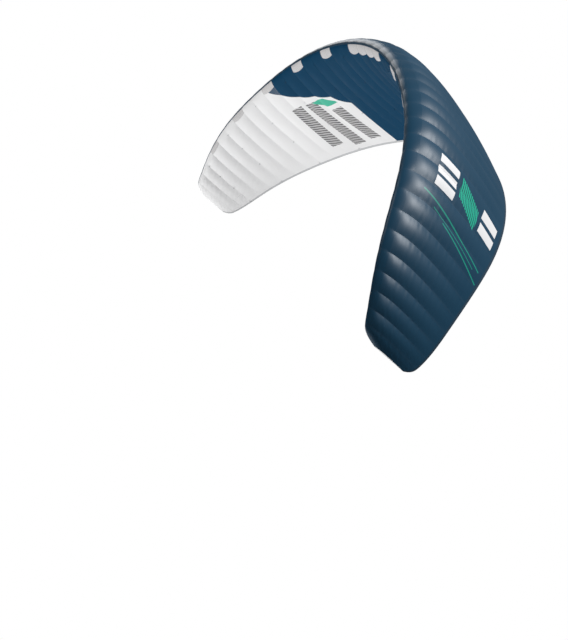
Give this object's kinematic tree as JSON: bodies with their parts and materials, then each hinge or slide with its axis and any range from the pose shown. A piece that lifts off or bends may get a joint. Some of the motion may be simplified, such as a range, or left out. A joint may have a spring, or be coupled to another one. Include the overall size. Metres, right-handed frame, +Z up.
{
  "type": "kitesurf kite",
  "caption": "Arched closed-cell ram-air foil kite wing with ribs, diagonals, screened intakes, one-way valve flaps, drain flaps and webbing bridle tabs.",
  "frame": {"origin": "the eye of the front bridle tab on the centre rib, where the bridle holds the flying kite", "axes": "+Z up at the top of the arch; the nose faces -Y and the trailing edge +Y; +X is the left wing as the kite flies"},
  "size_m": [8.4758, 1.539, 2.448],
  "materials": {
    "navy_cloth": "satin",
    "blue_cloth": "satin",
    "white_cloth": "satin",
    "screen_mesh": "matte mesh",
    "valve_cloth": "satin",
    "batten_plastic": "matte",
    "webbing": "woven",
    "hem_tape": "woven",
    "rib_cloth": "satin"
  },
  "bodies": {
    "canopy": {"bottom_front_panels_left": "blue_cloth", "bottom_front_panels_right": "blue_cloth", "bottom_rear_panels_left": "white_cloth", "bottom_rear_panels_right": "white_cloth", "brake_tabs_left": "webbing", "brake_tabs_right": "webbing", "centre_batten": "batten_plastic", "centre_front_tab": "webbing", "centre_middle_tab": "webbing", "centre_rear_tab": "webbing", "centre_rib": "rib_cloth", "diagonal_ribs_left": "rib_cloth", "diagonal_ribs_right": "rib_cloth", "front_tabs_left": "webbing", "front_tabs_right": "webbing", "intake_screens_left": "screen_mesh", "intake_screens_right": "screen_mesh", "loaded_ribs_left": "rib_cloth", "loaded_ribs_right": "rib_cloth", "middle_tabs_left": "webbing", "middle_tabs_right": "webbing", "nose_battens_left": "batten_plastic", "nose_battens_right": "batten_plastic", "nose_panels_left": "navy_cloth", "nose_panels_right": "navy_cloth", "plain_ribs_left": "rib_cloth", "plain_ribs_right": "rib_cloth", "rear_tabs_left": "webbing", "rear_tabs_right": "webbing", "tip_rib_left": "rib_cloth", "tip_rib_right": "rib_cloth", "top_panels_left": "navy_cloth", "top_panels_right": "navy_cloth", "trailing_edge_hem_left": "hem_tape", "trailing_edge_hem_right": "hem_tape"},
    "valve_flap_left_1": {"valve_flap_left_1": "valve_cloth"},
    "valve_flap_left_2": {"valve_flap_left_2": "valve_cloth"},
    "valve_flap_left_3": {"valve_flap_left_3": "valve_cloth"},
    "valve_flap_left_4": {"valve_flap_left_4": "valve_cloth"},
    "valve_flap_left_5": {"valve_flap_left_5": "valve_cloth"},
    "valve_flap_left_6": {"valve_flap_left_6": "valve_cloth"},
    "valve_flap_left_7": {"valve_flap_left_7": "valve_cloth"},
    "drain_flap_left": {"drain_flap_left": "white_cloth"},
    "valve_flap_right_1": {"valve_flap_right_1": "valve_cloth"},
    "valve_flap_right_2": {"valve_flap_right_2": "valve_cloth"},
    "valve_flap_right_3": {"valve_flap_right_3": "valve_cloth"},
    "valve_flap_right_4": {"valve_flap_right_4": "valve_cloth"},
    "valve_flap_right_5": {"valve_flap_right_5": "valve_cloth"},
    "valve_flap_right_6": {"valve_flap_right_6": "valve_cloth"},
    "valve_flap_right_7": {"valve_flap_right_7": "valve_cloth"},
    "drain_flap_right": {"drain_flap_right": "white_cloth"}
  },
  "joints": [
    {"name": "valve_hinge_left_1", "type": "hinge", "parent": "canopy", "child": "valve_flap_left_1", "pos_m": [0.15769, -0.11405, 0.06935], "axis": [0.9997, 0.0016, -0.0244], "range_deg": [0, 50]},
    {"name": "valve_hinge_left_2", "type": "hinge", "parent": "canopy", "child": "valve_flap_left_2", "pos_m": [0.4722, -0.11288, 0.05405], "axis": [0.9973, 0.0059, -0.0729], "range_deg": [0, 50]},
    {"name": "valve_hinge_left_3", "type": "hinge", "parent": "canopy", "child": "valve_flap_left_3", "pos_m": [1.39389, -0.09824, -0.07898], "axis": [0.9771, 0.0276, -0.2112], "range_deg": [0, 50]},
    {"name": "valve_hinge_left_4", "type": "hinge", "parent": "canopy", "child": "valve_flap_left_4", "pos_m": [2.24896, -0.06028, -0.32746], "axis": [0.9342, 0.0573, -0.3521], "range_deg": [0, 50]},
    {"name": "valve_hinge_left_5", "type": "hinge", "parent": "canopy", "child": "valve_flap_left_5", "pos_m": [2.98512, -0.00399, -0.68955], "axis": [0.8409, 0.0782, -0.5355], "range_deg": [0, 50]},
    {"name": "valve_hinge_left_6", "type": "hinge", "parent": "canopy", "child": "valve_flap_left_6", "pos_m": [3.54943, 0.06105, -1.14529], "axis": [0.6943, 0.1143, -0.7105], "range_deg": [0, 50]},
    {"name": "valve_hinge_left_7", "type": "hinge", "parent": "canopy", "child": "valve_flap_left_7", "pos_m": [3.92777, 0.1763, -1.61799], "axis": [0.521, 0.2793, -0.8066], "range_deg": [0, 50]},
    {"name": "drain_hinge_left", "type": "hinge", "parent": "canopy", "child": "drain_flap_left", "pos_m": [4.05579, 0.85338, -1.91501], "axis": [-0.478, 0.0406, 0.8774], "range_deg": [0, 110]},
    {"name": "valve_hinge_right_1", "type": "hinge", "parent": "canopy", "child": "valve_flap_right_1", "pos_m": [-0.15769, -0.11405, 0.06935], "axis": [0.9997, -0.0016, 0.0244], "range_deg": [0, 50]},
    {"name": "valve_hinge_right_2", "type": "hinge", "parent": "canopy", "child": "valve_flap_right_2", "pos_m": [-0.4722, -0.11288, 0.05405], "axis": [0.9973, -0.0059, 0.0729], "range_deg": [0, 50]},
    {"name": "valve_hinge_right_3", "type": "hinge", "parent": "canopy", "child": "valve_flap_right_3", "pos_m": [-1.39389, -0.09824, -0.07898], "axis": [0.9771, -0.0276, 0.2112], "range_deg": [0, 50]},
    {"name": "valve_hinge_right_4", "type": "hinge", "parent": "canopy", "child": "valve_flap_right_4", "pos_m": [-2.24896, -0.06028, -0.32746], "axis": [0.9342, -0.0573, 0.3521], "range_deg": [0, 50]},
    {"name": "valve_hinge_right_5", "type": "hinge", "parent": "canopy", "child": "valve_flap_right_5", "pos_m": [-2.98512, -0.00399, -0.68955], "axis": [0.8409, -0.0782, 0.5355], "range_deg": [0, 50]},
    {"name": "valve_hinge_right_6", "type": "hinge", "parent": "canopy", "child": "valve_flap_right_6", "pos_m": [-3.54943, 0.06105, -1.14529], "axis": [0.6943, -0.1143, 0.7105], "range_deg": [0, 50]},
    {"name": "valve_hinge_right_7", "type": "hinge", "parent": "canopy", "child": "valve_flap_right_7", "pos_m": [-3.92777, 0.1763, -1.61799], "axis": [0.521, -0.2793, 0.8066], "range_deg": [0, 50]},
    {"name": "drain_hinge_right", "type": "hinge", "parent": "canopy", "child": "drain_flap_right", "pos_m": [-4.05579, 0.85338, -1.91501], "axis": [-0.478, -0.0406, -0.8774], "range_deg": [0, 110]}
  ]
}
